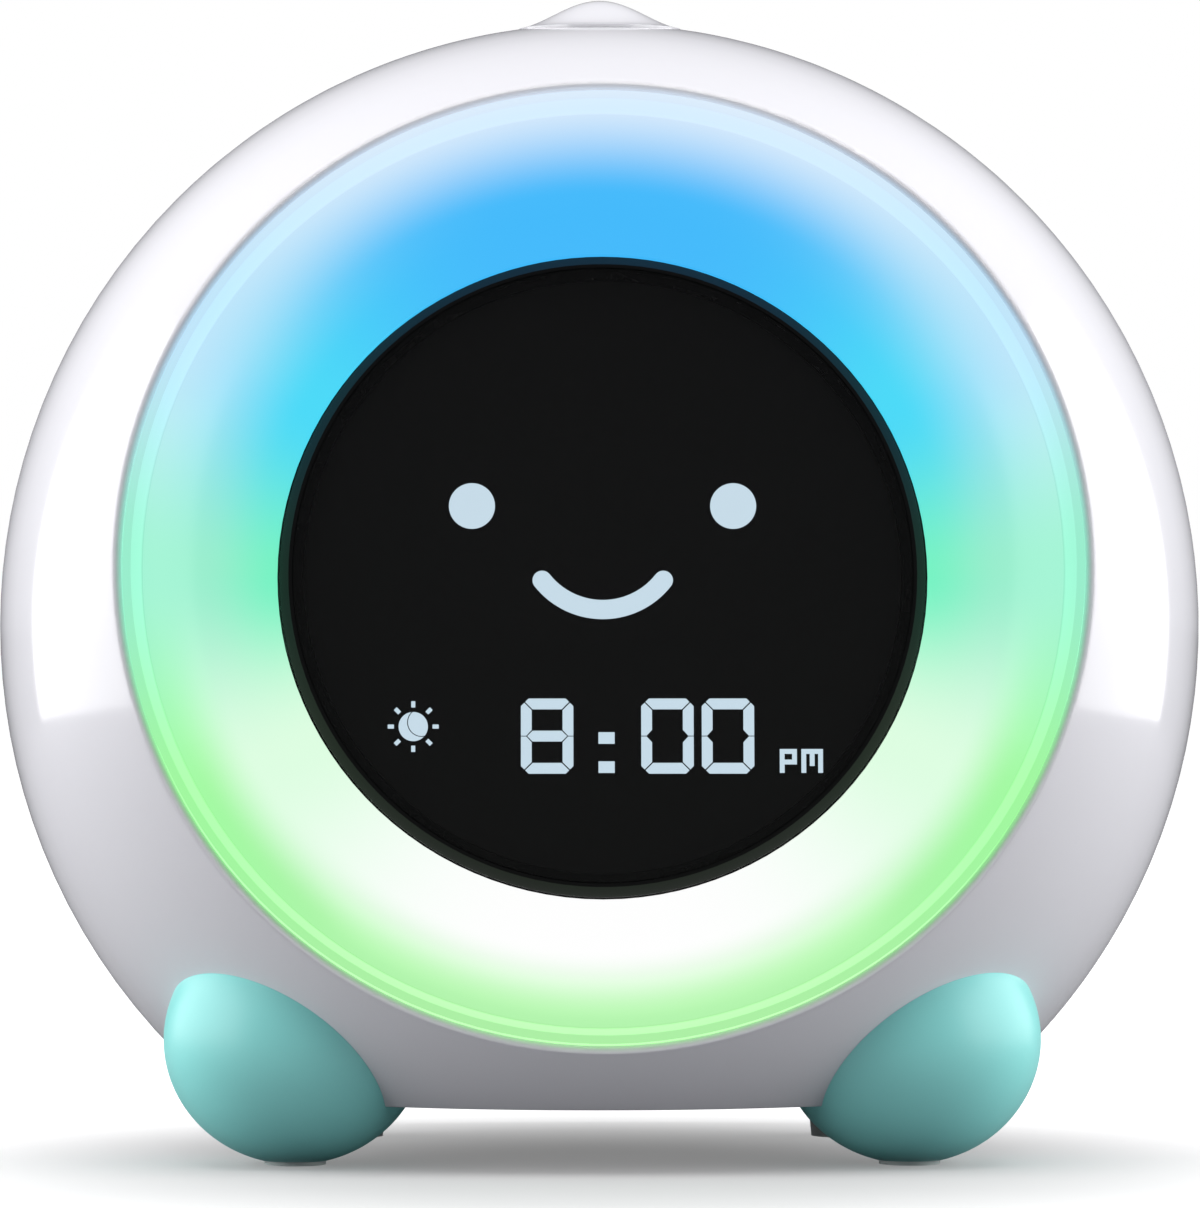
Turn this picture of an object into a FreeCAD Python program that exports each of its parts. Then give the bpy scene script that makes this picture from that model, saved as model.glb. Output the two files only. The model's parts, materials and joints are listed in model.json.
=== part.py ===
import FreeCAD, Part
import math
import os
import re

# Alarm clock and night light for a child's room: a round white body on two soft feet, with a
# glowing bowl round a dark display. Millimetres, +Z up, the face looks along -Y. The origin is
# on the table, under the middle of the clock.

SIZES = {
    # Body: a rounded form, cut flat underneath and at the back
    "body_radius": 80.0,
    "body_rise": 80.4,
    "body_depth": 66.0,
    "shell_wall": 2.4,
    "base_inset": 18.6,
    "stand_height": 8.0,
    "base_round": 0.9,
    "split_behind": 3.0,
    "rear_inset": 19.6,
    "tongue_wall": 1.2,
    "tongue_reach": 3.0,
    "fit_gap": 0.15,
    # Face: leans back, set into the front of the body
    "face_tilt": 8.0,
    "face_inset": 25.0,
    "face_rise": 8.5,
    "opening_inset": 18.0,
    "lip_round": 0.9,
    # Glowing bowl
    "bowl_set": 0.7,
    "bowl_rim": 0.9,
    "bowl_wall_depth": 5.0,
    "bowl_wall_lean": 1.4,
    "bowl_depth": 12.0,
    "bowl_arc": 22.7,
    "bowl_skin": 1.8,
    "bowl_flange": 1.6,
    "flange_top": 6.2,
    "flange_thick": 1.4,
    # Display puck
    "bowl_wide": 20.0,
    "puck_rise": 1.2,
    "puck_wall": 3.0,
    "lens_seat": 1.8,
    "lens_thick": 1.5,
    "lcd_gap": 0.6,
    "lcd_thick": 1.5,
    "glow_thick": 0.15,
    "guide_thick": 2.5,
    "board_thick": 1.6,
    "wire_hole": 2.0,
    # Lettering of the display
    "digit_wide": 6.8,
    "digit_tall": 9.8,
    "stroke": 1.4,
    "corner_cut": 1.0,
    "digit_base": -25.85,
    "segment_gap": 0.12,
    # Light tray and its lamps
    "tray_depth": 20.0,
    "tray_floor": 1.5,
    "tray_wall": 1.4,
    "ear_out": 5.0,
    "ear_radius": 3.3,
    "lamp_side": 5.0,
    "lamp_thick": 1.6,
    "lamp_board_inset": 4.0,
    "lamp_board_rim": 3.5,
    # Screws
    "screw_radius": 1.3,
    "screw_head": 2.5,
    "head_thick": 1.6,
    "screw_gap": 0.06,
    "small_screw_radius": 0.9,
    "small_screw_head": 1.8,
    "small_head_thick": 1.1,
    "small_screw_in": 4.0,
    "board_hole": 1.1,
    "boss_radius": 3.5,
    "boss_inset": 9.0,
    # Main board behind the tray
    "main_wide": 84.0,
    "main_tall": 62.0,
    "post_long": 8.0,
    "post_radius": 3.0,
    "post_x": 36.0,
    "post_y": 25.0,
    # Feet
    "foot_inset": 40.0,
    "foot_forward": 27.0,
    "foot_up": 16.2,
    "foot_wide": 17.1,
    "foot_deep": 16.0,
    "pad_radius": 4.0,
    "pad_thick": 1.4,
    "rear_foot_inset": 46.0,
    "rear_foot_behind": 22.0,
    "rear_foot_radius": 5.5,
    # Night light button on top
    "button_radius": 9.7,
    "crown_radius": 10.8,
    "crown_side": 1.0,
    "bell_radius": 12.5,
    "bell_height": 4.0,
    "collar_wall": 1.0,
    "collar_long": 6.55,
    "collar_flange": 14.6,
    "button_travel": 1.5,
    "spring_radius": 5.2,
    "spring_wire": 0.7,
    "spring_turns": 5.0,
    "button_board_drop": 18.8,
    # Rear cover and what it carries
    "cover_thick": 2.2,
    "cover_round": 1.0,
    "cover_gap": 0.3,
    "seat_wide": 9.6,
    "seat_thick": 2.6,
    "cover_screw_inset": 6.0,
    "key_radius": 4.2,
    "key_gap": 0.25,
    "key_proud": 0.9,
    "key_pitch": 17.0,
    "key_height": 6.0,
    "key_travel": 1.0,
    "speaker_radius": 17.5,
    "speaker_gap": 1.5,
    "grille_hole": 1.0,
    "grille_pitch": 3.4,
    # Battery bay for three AAA cells
    "cell_radius": 5.25,
    "cell_long": 44.5,
    "bay_wall": 1.1,
    "bay_contact": 2.3,
    "bay_top": -3.4,
    "door_over": 2.6,
    "door_thick": 1.5,
    "hinge_radius": 0.75,
    "hinge_pin": 0.5,
    # Volume slide and power socket
    "volume_x": 25.0,
    "volume_height": 27.0,
    "volume_travel": 4.5,
    "knob_half": 2.5,
    "knob_flange": 3.6,
    "port_inset": 11.0,
    "port_height": -20.0,
    "port_wide": 8.94,
    "port_tall": 3.26,
    "port_wall": 0.3,
}

# Places and sizes that follow from others by a named inset or clearance
DERIVED = {
    "base_drop": "body_rise - base_inset",
    "rear_flat": "body_depth - rear_inset",
    "face_forward": "body_depth - face_inset",
    "opening_radius": "body_radius - opening_inset",
    "puck_radius": "opening_radius - bowl_wide",
    "lens_radius": "puck_radius - lens_seat",
    "ear_circle": "opening_radius + ear_out",
    "lamp_circle": "(opening_radius + puck_radius) / 2",
    "lamp_board_inner": "puck_radius + lamp_board_inset",
    "lamp_board_outer": "opening_radius - lamp_board_rim",
    "boss_circle": "body_radius - boss_inset",
    "foot_apart": "body_radius - foot_inset",
    "rear_foot_apart": "body_radius - rear_foot_inset",
    "cover_radius": "body_radius * sqrt(1 - (rear_flat / body_depth)^2) - cover_gap",
    "seat_ring": "cover_radius - seat_wide",
    "cover_screw_circle": "cover_radius - cover_screw_inset",
    "speaker_height": "seat_ring - speaker_radius - speaker_gap",
    "port_x": "seat_ring - port_inset",
}

doc = FreeCAD.newDocument("NightLightClock")
sheet = doc.addObject("Spreadsheet::Sheet", "Sizes")
for row, (alias, value) in enumerate(SIZES.items(), start=1):
    sheet.set(f"A{row}", alias)
    sheet.set(f"B{row}", str(value))
    sheet.setAlias(f"B{row}", alias)
doc.recompute()


def rule(text):
    """A formula, with each name written as its cell in the sheet or as what it follows from."""

    def written(word):
        name = word.group()
        if name in DERIVED:
            return "(" + rule(DERIVED[name]) + ")"
        return "Sizes." + name if name in SIZES else name

    return re.sub(r"[a-z]+(?:_[a-z]+)*", written, str(text))


meter = doc.addObject("App::FeaturePython", "Meter")
meter.addProperty("App::PropertyFloat", "Reading")


def size(text):
    """The number that a formula gives, for shapes that are made from a curve."""
    meter.setExpression("Reading", rule(text))
    meter.recompute()
    return meter.Reading


# Shapes in their own frames. Every length and place is a formula of the sheet's sizes.
TURNS = {
    "z": FreeCAD.Rotation(),
    "y": FreeCAD.Rotation(FreeCAD.Vector(1, 0, 0), -90),
    "x": FreeCAD.Rotation(FreeCAD.Vector(0, 1, 0), 90),
}


def solid(kind, at, along="z", **rules):
    item = doc.addObject("Part::" + kind, kind)
    item.Placement = FreeCAD.Placement(FreeCAD.Vector(), TURNS[along])
    for name, text in rules.items():
        item.setExpression(name, rule(text))
    for axis, text in zip("xyz", at):
        item.setExpression("Placement.Base." + axis, rule(text))
    return item


def block(across, deep, tall):
    """A box from its low and high side on each axis."""
    low = [side[0] for side in (across, deep, tall)]
    spans = [f"({side[1]}) - ({side[0]})" for side in (across, deep, tall)]
    return solid("Box", low, Length=spans[0], Width=spans[1], Height=spans[2])


def rod(radius, length, at, along="z"):
    return solid("Cylinder", at, along, Radius=radius, Height=length)


def cone(low_radius, high_radius, length, at, along="z"):
    return solid("Cone", at, along, Radius1=low_radius, Radius2=high_radius, Height=length)


def ellipsoid(wide, deep, tall, at=(0, 0, 0)):
    return solid("Ellipsoid", at, Radius1=tall, Radius2=wide, Radius3=deep)


def torus(ring_radius, tube_radius, at):
    return solid("Torus", at, Radius1=ring_radius, Radius2=tube_radius)


def fuse(*items):
    if len(items) == 1:
        return items[0]
    result = doc.addObject("Part::MultiFuse", "Fuse")
    result.Shapes = list(items)
    return result


def common(*items):
    result = doc.addObject("Part::MultiCommon", "Common")
    result.Shapes = list(items)
    return result


def cut(base, *tools):
    result = doc.addObject("Part::Cut", "Cut")
    result.Base = base
    result.Tool = fuse(*tools)
    return result


def group(*items):
    result = doc.addObject("Part::Compound", "Group")
    result.Links = list(items)
    return result


def curve_solid(shape):
    """A shape that is made from a curve rather than from primitives."""
    item = doc.addObject("Part::Feature", "CurveSolid")
    item.Shape = shape
    return item


def rounded(base, radius, is_edge):
    """The base with those of its edges rounded that the test picks."""
    doc.recompute()
    edges = [n for n, edge in enumerate(base.Shape.Edges, start=1) if is_edge(edge)]
    if not edges:
        raise ValueError("no edge to round on " + base.Name)
    result = doc.addObject("Part::Fillet", "Fillet")
    result.Base = base
    result.Edges = [(n, radius, radius) for n in edges]
    return result


def ring_places(circle, angles):
    """Formulas for places on a circle, with its first axis to the right."""
    return [(f"{circle} * cos({a})", f"{circle} * sin({a})") for a in angles]


def in_face(item):
    """Stands an item that is drawn flat, +Z outward, into the leaning face."""
    stood = group(item)
    stood.Placement.Rotation = FreeCAD.Rotation(FreeCAD.Vector(1, 0, 0), 90)
    stood.setExpression("Placement.Rotation.Angle", rule("90 - face_tilt"))
    stood.setExpression("Placement.Base.y", rule("-face_forward"))
    stood.setExpression("Placement.Base.z", rule("face_rise"))
    return stood


subparts = []


def keep(label, item, face=False):
    """Names a finished piece and puts it in its place over the table."""
    placed = in_face(item) if face else group(item)
    lift = "base_drop + stand_height" + (" + face_rise" if face else "")
    placed.setExpression("Placement.Base.z", rule(lift))
    placed.Label = label
    subparts.append(placed)
    return placed


# Body forms, round the middle of the body
BIG = "2 * body_radius"
OPEN = (f"-{BIG}", BIG)
# A length that reaches right through a part of the clock
THROUGH = "body_radius"

outer_round = ellipsoid("body_radius", "body_depth", "body_rise")
body_block = common(outer_round, block(OPEN, (f"-{BIG}", "rear_flat"), ("-base_drop", BIG)))
body_form = rounded(
    body_block,
    size("base_round"),
    lambda edge: abs(edge.BoundBox.ZMax + size("base_drop")) < 0.01,
)
cavity = common(
    ellipsoid("body_radius - shell_wall", "body_depth - shell_wall", "body_rise - shell_wall"),
    block(OPEN, OPEN, ("shell_wall - base_drop", BIG)),
)
shell_form = cut(body_form, cavity)
front_space = block(OPEN, (f"-{BIG}", "split_behind"), OPEN)
rear_space = block(OPEN, ("split_behind", BIG), OPEN)

# Housing screws run from the back into bosses of the front shell
BOSS_ANGLES = (50, 130, 205, 335)
boss_places = ring_places("boss_circle", BOSS_ANGLES)
SEAT_FROM_SPLIT = 10
SCREW_LONG = 20
HEAD_SEAT = f"split_behind + {SEAT_FROM_SPLIT}"
PILOT_END = f"split_behind + {SEAT_FROM_SPLIT} - {SCREW_LONG} - 1"


def trimmed_bosses(places, start, length, along="y", radius="boss_radius"):
    rods = [rod(radius, length, (x, start, z), along) for x, z in places]
    return common(body_form, fuse(*rods))


def screw(at, long, along, radius="screw_radius", head="screw_head", head_thick="head_thick"):
    """A pan head screw. Its head lies beyond the seat, and its shank runs the other way."""
    step = {"x": 0, "y": 1, "z": 2}[along]
    shank_at = list(at)
    shank_at[step] = f"{at[step]} - ({long})"
    return fuse(rod(head, head_thick, at, along), rod(radius, long, shank_at, along))


# Bosses for the tray screws stand in the front shell, along the face's own axis
EAR_ANGLES = (20, 160, 220, 320)
ear_places = ring_places("ear_circle", EAR_ANGLES)
ear_boss_rods = in_face(
    fuse(*[rod("ear_radius", "tray_depth - 3", (x, y, "-tray_depth")) for x, y in ear_places])
)
ear_bosses = common(body_form, ear_boss_rods)
ear_pilots = in_face(
    fuse(*[
        rod("screw_radius + screw_gap", 7, (x, y, "-tray_depth - 0.5"))
        for x, y in ear_places
    ])
)

# Front shell: the white front, with a rounded lip round the glowing bowl
face_cut = in_face(rod("opening_radius", THROUGH, (0, 0, f"-{THROUGH} / 2")))
inner_clear = in_face(
    rod("opening_radius + bowl_flange + fit_gap", THROUGH, (0, 0, f"-flange_top - {THROUGH}"))
)
front_bosses = fuse(trimmed_bosses(boss_places, "-body_depth", "body_depth + split_behind"), ear_bosses)
front_pilots = [
    rod("screw_radius + screw_gap", 30, (x, PILOT_END, z), "y") for x, z in boss_places
]
button_hole = rod("crown_radius + 0.25", 30, (0, 0, "body_rise - 20"))

# Foot screws point outwards from the shell, square to it
FOOT_DIRECTION = FreeCAD.Vector(
    size("foot_apart") / size("body_radius") ** 2,
    -size("foot_forward") / size("body_depth") ** 2,
    -(size("base_drop") + size("stand_height") - size("foot_up")) / size("body_rise") ** 2,
).normalize()
FOOT_MIDDLE = ("foot_apart", "-foot_forward", "foot_up - base_drop - stand_height")


def toward_foot(side, radius, start, length):
    """A rod along a foot's screw axis, from a distance outward of the foot's middle."""
    item = doc.addObject("Part::Cylinder", "FootRod")
    way = FreeCAD.Vector(FOOT_DIRECTION.x * side, FOOT_DIRECTION.y, FOOT_DIRECTION.z)
    item.Placement.Rotation = FreeCAD.Rotation(FreeCAD.Vector(0, 0, 1), way)
    item.setExpression("Radius", rule(radius))
    item.setExpression("Height", rule(length))
    middle = (f"{side} * foot_apart", FOOT_MIDDLE[1], FOOT_MIDDLE[2])
    for axis, text, part in zip("xyz", middle, way):
        item.setExpression("Placement.Base." + axis, rule(f"{text} + ({start}) * ({part:.6f})"))
    return item


# Distance from the foot's middle to the shell's outside along the screw
axis_scaled = FreeCAD.Vector(
    FOOT_DIRECTION.x / size("body_radius"),
    FOOT_DIRECTION.y / size("body_depth"),
    FOOT_DIRECTION.z / size("body_rise"),
)
middle_scaled = FreeCAD.Vector(
    size("foot_apart") / size("body_radius"),
    -size("foot_forward") / size("body_depth"),
    -(size("base_drop") + size("stand_height") - size("foot_up")) / size("body_rise"),
)
squared = axis_scaled.dot(axis_scaled)
slant = axis_scaled.dot(middle_scaled)
reach = (-slant + math.sqrt(slant**2 + squared * (1 - middle_scaled.dot(middle_scaled)))) / squared
SHELL_OUT = f"{reach:.4f}"
FOOT_SCREW_IN = 7

foot_shell_holes = [
    toward_foot(side, "screw_radius + screw_gap", f"{SHELL_OUT} - 10", 14) for side in (-1, 1)
]

front_raw = cut(
    common(fuse(shell_form, front_bosses), front_space),
    face_cut,
    inner_clear,
    ear_pilots,
    button_hole,
    *front_pilots,
    *foot_shell_holes,
)


def is_lip(edge):
    """The front edge of the face opening, on the outside of the body."""
    spots = [edge.valueAt(p) for p in (edge.FirstParameter, edge.LastParameter)]
    spots.append(edge.valueAt((edge.FirstParameter + edge.LastParameter) / 2))
    tilt = math.radians(size("face_tilt"))
    for spot in spots:
        outside = math.sqrt(
            (spot.x / size("body_radius")) ** 2
            + (spot.y / size("body_depth")) ** 2
            + (spot.z / size("body_rise")) ** 2
        )
        deep = spot.y + size("face_forward")
        high = spot.z - size("face_rise")
        up = deep * math.sin(tilt) + high * math.cos(tilt)
        if abs(outside - 1) > 1e-3 or abs(math.hypot(spot.x, up) - size("opening_radius")) > 1e-2:
            return False
    return True


front_shell = keep("front_shell", rounded(front_raw, size("lip_round"), is_lip))

# Rear shell: the white back, with a tongue inside the front shell and a seat for the cover
def skin(depth_in, behind, above):
    """The space inside the body from a distance under its surface, between two planes."""
    return common(
        ellipsoid(f"body_radius - {depth_in}", f"body_depth - {depth_in}", f"body_rise - {depth_in}"),
        block(OPEN, behind, (f"{above} - base_drop", BIG)),
    )


tongue = cut(
    fuse(
        skin("(shell_wall - 0.5)", ("split_behind", "split_behind + tongue_reach"), "(shell_wall - 0.5)"),
        skin(
            "(shell_wall + fit_gap)",
            ("split_behind - tongue_reach", "split_behind + 1"),
            "shell_wall + fit_gap",
        ),
    ),
    skin("(shell_wall + tongue_wall)", OPEN, "shell_wall + tongue_wall"),
    rod("collar_flange + 1", 40, (0, 0, "body_rise - 30")),
    *[
        rod("boss_radius + 0.4", "tongue_reach + 1", (x, "split_behind - tongue_reach - 1", z), "y")
        for x, z in boss_places
    ],
)
seat_ring = common(
    body_form,
    cut(
        rod("body_radius", "seat_thick", (0, "rear_flat - seat_thick", 0), "y"),
        rod("seat_ring", "seat_thick", (0, "rear_flat - seat_thick", 0), "y"),
    ),
)
COVER_SCREW_ANGLES = (45, 135, 225, 315)
cover_screw_places = ring_places("cover_screw_circle", COVER_SCREW_ANGLES)
cover_bosses = common(
    body_form,
    fuse(*[
        rod("boss_radius - 0.2", 9, (x, "rear_flat - 9", z), "y") for x, z in cover_screw_places
    ]),
)
rear_bosses = trimmed_bosses(boss_places, "split_behind", "body_depth", radius="boss_radius + 0.5")
rear_raw = fuse(common(fuse(shell_form, rear_bosses, cover_bosses, seat_ring), rear_space), tongue)
REAR_PEG_RADIUS = 2.0
rear_foot_places = [(f"{side} * rear_foot_apart", "rear_foot_behind") for side in (-1, 1)]
rear_shell = keep(
    "rear_shell",
    cut(
        rear_raw,
        button_hole,
        *[rod("screw_radius + 0.3", 40, (x, "split_behind - 5", z), "y") for x, z in boss_places],
        *[rod("screw_head + 0.4", 60, (x, HEAD_SEAT, z), "y") for x, z in boss_places],
        *[
            rod("screw_radius + screw_gap", 9, (x, "rear_flat - 8", z), "y")
            for x, z in cover_screw_places
        ],
        *[
            rod(f"{REAR_PEG_RADIUS} + fit_gap", "shell_wall + 2", (x, y, "-base_drop - 1"))
            for x, y in rear_foot_places
        ],
    ),
)
keep("housing_screws", group(*[screw((x, HEAD_SEAT, z), SCREW_LONG, "y") for x, z in boss_places]))

# Glowing bowl: a steep outer wall, then a hollow that sweeps down to the display
BOWL_OUT = "opening_radius - fit_gap"
BOWL_MOUTH = f"{BOWL_OUT} - bowl_rim"
BOWL_FOOT = f"{BOWL_MOUTH} - bowl_wall_lean"
BOWL_IN = "puck_radius + 2 * fit_gap"
ARC_RING = "puck_radius + 1"
ARC_UP = "bowl_arc - bowl_depth"
bowl_outside = fuse(
    rod(BOWL_OUT, "flange_top - bowl_set", (0, 0, "-flange_top")),
    rod("opening_radius + bowl_flange", "flange_thick", (0, 0, "-flange_top - flange_thick")),
    common(
        torus(ARC_RING, "bowl_arc + bowl_skin", (0, 0, ARC_UP)),
        rod(BOWL_OUT, "bowl_depth + bowl_skin - bowl_wall_depth", (0, 0, "-bowl_depth - bowl_skin")),
    ),
)
bowl_hollow = fuse(
    cone(BOWL_FOOT, BOWL_MOUTH, "bowl_wall_depth", (0, 0, "-bowl_wall_depth")),
    common(
        torus(ARC_RING, "bowl_arc", (0, 0, ARC_UP)),
        rod(BOWL_FOOT, "bowl_depth + bowl_skin - bowl_wall_depth", (0, 0, "-bowl_depth - bowl_skin")),
    ),
    rod(BOWL_IN, THROUGH, (0, 0, f"-{THROUGH} / 2")),
)
keep("diffuser_bowl", cut(bowl_outside, bowl_hollow), face=True)

# Display puck: a black bezel with the lens, the LCD, its light guide and its board stacked inside
LENS_FRONT = "puck_rise - bowl_depth"
LENS_BACK = f"{LENS_FRONT} - lens_thick"
LCD_FRONT = f"{LENS_BACK} - lcd_gap"
LCD_BACK = f"{LCD_FRONT} - lcd_thick"
GUIDE_BACK = f"{LCD_BACK} - guide_thick"
PUCK_BACK = f"{GUIDE_BACK} - board_thick"
STACK_RADIUS = "puck_radius - puck_wall - fit_gap"
PUCK_SCREW_IN = 4
puck_screw_places = ring_places("(puck_radius - puck_wall / 2)", (90, 210, 330))
bezel_block = fuse(
    rod("puck_radius", f"-bowl_depth - ({PUCK_BACK})", (0, 0, PUCK_BACK)),
    cone("puck_radius", "puck_radius - puck_rise", "puck_rise", (0, 0, "-bowl_depth")),
)
keep(
    "display_bezel",
    cut(
        bezel_block,
        rod("lens_radius + fit_gap", 10, (0, 0, LENS_BACK)),
        rod("puck_radius - puck_wall", THROUGH, (0, 0, f"-{THROUGH}")),
        *[
            rod("small_screw_radius + screw_gap", f"{PUCK_SCREW_IN} + 0.5", (x, y, PUCK_BACK))
            for x, y in puck_screw_places
        ],
    ),
    face=True,
)
keep("display_lens", group(rod("lens_radius", "lens_thick", (0, 0, LENS_BACK))), face=True)
keep("lcd_panel", group(rod(STACK_RADIUS, "lcd_thick", (0, 0, LCD_BACK))), face=True)
keep("light_guide", group(rod(STACK_RADIUS, "guide_thick", (0, 0, GUIDE_BACK))), face=True)
keep(
    "display_board",
    cut(
        rod(STACK_RADIUS, "board_thick", (0, 0, PUCK_BACK)),
        rod("wire_hole", 10, (0, "puck_radius - 12", PUCK_BACK)),
    ),
    face=True,
)

# Lit shapes lie on the front of the LCD panel
GLOW = (LCD_FRONT, f"{LCD_FRONT} + glow_thick")


def flat_block(left, right, low, high):
    return block((left, right), (low, high), GLOW)


def flat_shape(points):
    """A lit shape from its corners."""
    corners = [FreeCAD.Vector(x, y, size(LCD_FRONT)) for x, y in points]
    face = Part.Face(Part.makePolygon([*corners, corners[0]]))
    return curve_solid(face.extrude(FreeCAD.Vector(0, 0, size("glow_thick"))))


def digit(left, lit):
    """A seven-segment figure from its left side. Lit names its segments, a to g."""
    wide = size("digit_wide")
    tall = size("digit_tall")
    stroke = size("stroke")
    gap = size("segment_gap")
    corner = size("corner_cut")
    half = tall / 2
    # The upper right quarter, from which the others are mirrored
    top_end = [
        (wide - corner, tall),
        (wide - corner / 2 - gap / 2, tall - corner / 2 + gap / 2),
        (wide - stroke - gap, tall - stroke),
    ]
    side = [
        (wide, half + gap / 2),
        (wide, tall - corner),
        (wide - corner / 2 + gap / 2, tall - corner / 2 - gap / 2),
        (wide - stroke, tall - stroke - gap),
        (wide - stroke, half + stroke / 2 + gap),
        (wide - stroke / 2, half + gap / 2),
    ]
    top = top_end + [(wide - x, y) for x, y in reversed(top_end)]
    middle = [
        (stroke / 2 + gap, half),
        (stroke + gap, half + stroke / 2),
        (wide - stroke - gap, half + stroke / 2),
        (wide - stroke / 2 - gap, half),
        (wide - stroke - gap, half - stroke / 2),
        (stroke + gap, half - stroke / 2),
    ]
    segments = {
        "a": top,
        "b": side,
        "c": [(x, tall - y) for x, y in side],
        "d": [(x, tall - y) for x, y in top],
        "e": [(wide - x, tall - y) for x, y in side],
        "f": [(wide - x, y) for x, y in side],
        "g": middle,
    }
    low = size("digit_base")
    return [flat_shape([(left + x, low + y) for x, y in segments[name]]) for name in lit]


COLON_WIDE = 2.1
COLON_TALL = 1.5
colon = [
    flat_block("-0.6", f"-0.6 + {COLON_WIDE}", f"digit_base + {up}", f"digit_base + {up} + {COLON_TALL}")
    for up in (0.1, 3.9)
]
LETTER_TALL = 3.1
LETTER_STROKE = 0.62


def letter_bar(left, low, wide, tall):
    base = "digit_base + 0.1"
    return flat_block(f"{left}", f"{left} + {wide}", f"{base} + {low}", f"{base} + {low} + {tall}")


P_LEFT = 22.9
M_LEFT = 25.7
M_WIDE = 2.8
letter_p = fuse(
    letter_bar(P_LEFT, 0, LETTER_STROKE, LETTER_TALL),
    letter_bar(P_LEFT, LETTER_TALL - LETTER_STROKE, 2.1, LETTER_STROKE),
    letter_bar(P_LEFT, 1.1, 2.1, LETTER_STROKE),
    letter_bar(P_LEFT + 1.6, 1.1, LETTER_STROKE, LETTER_TALL - 1.1),
)
letter_m = fuse(
    letter_bar(M_LEFT, 0, LETTER_STROKE, LETTER_TALL),
    letter_bar(M_LEFT + M_WIDE - LETTER_STROKE, 0, LETTER_STROKE, LETTER_TALL),
    letter_bar(M_LEFT, LETTER_TALL - LETTER_STROKE, M_WIDE, LETTER_STROKE),
    letter_bar(M_LEFT + (M_WIDE - LETTER_STROKE) / 2, 0.9, LETTER_STROKE, LETTER_TALL - 0.9),
)
time_bars = digit(-10.65, "abcdefg") + digit(4.95, "abcdef") + digit(12.8, "abcdef")
keep("time_digits", group(*time_bars, *colon, letter_p, letter_m), face=True)

# A plain sun that marks daytime: a disc and eight rays
SUN_X = -24.6
SUN_Y = -19.7
SUN_DISC = 1.9
RAY_IN = 2.5
RAY_OUT = 3.3
RAY_HALF = 0.26
rays = []
for turn in range(0, 360, 45):
    ray = block((RAY_IN, RAY_OUT), (-RAY_HALF, RAY_HALF), (0, "glow_thick"))
    ray_turned = group(ray)
    ray_turned.Placement.Rotation = FreeCAD.Rotation(FreeCAD.Vector(0, 0, 1), turn)
    for axis, text in zip("xyz", (SUN_X, SUN_Y, LCD_FRONT)):
        ray_turned.setExpression("Placement.Base." + axis, rule(text))
    rays.append(ray_turned)
ARC_OFFSET = 1.1
ARC_LINE = 0.12
arc_at = (SUN_X + ARC_OFFSET, SUN_Y + ARC_OFFSET / 2, LCD_FRONT)
sun_disc = cut(
    rod(SUN_DISC, "glow_thick", (SUN_X, SUN_Y, LCD_FRONT)),
    cut(
        rod(SUN_DISC, "glow_thick", arc_at),
        rod(f"{SUN_DISC} - {ARC_LINE}", "glow_thick", arc_at),
    ),
)
keep("sun_icon", group(sun_disc, *rays), face=True)

# A plain smile: two round dots and an arc of even width
DOT_RADIUS = 3.0
DOT_X = 17.0
DOT_Y = 9.2
SMILE_RADIUS = 10.0
SMILE_Y = 5.6
SMILE_HALF = 1.25
SMILE_SPREAD = 52
smile_sector = cut(
    rod(f"{SMILE_RADIUS} + {SMILE_HALF}", "glow_thick", (0, SMILE_Y, LCD_FRONT)),
    rod(f"{SMILE_RADIUS} - {SMILE_HALF}", "glow_thick", (0, SMILE_Y, LCD_FRONT)),
)
smile_wedge = doc.addObject("Part::Cylinder", "SmileWedge")
smile_wedge.Angle = 2 * SMILE_SPREAD
smile_wedge.Placement.Rotation = FreeCAD.Rotation(FreeCAD.Vector(0, 0, 1), -90 - SMILE_SPREAD)
smile_wedge.setExpression("Radius", rule(f"{SMILE_RADIUS} * 2"))
smile_wedge.setExpression("Height", rule("glow_thick"))
for axis, text in zip("xyz", (0, SMILE_Y, LCD_FRONT)):
    smile_wedge.setExpression("Placement.Base." + axis, rule(text))
smile_ends = [
    rod(
        SMILE_HALF,
        "glow_thick",
        (
            f"{side} * {SMILE_RADIUS} * sin({SMILE_SPREAD})",
            f"{SMILE_Y} - {SMILE_RADIUS} * cos({SMILE_SPREAD})",
            LCD_FRONT,
        ),
    )
    for side in (-1, 1)
]
smile = fuse(common(smile_sector, smile_wedge), *smile_ends)
dots = [rod(DOT_RADIUS, "glow_thick", (side * DOT_X, DOT_Y, LCD_FRONT)) for side in (-1, 1)]
keep("smile_segments", group(smile, *dots), face=True)

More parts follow.
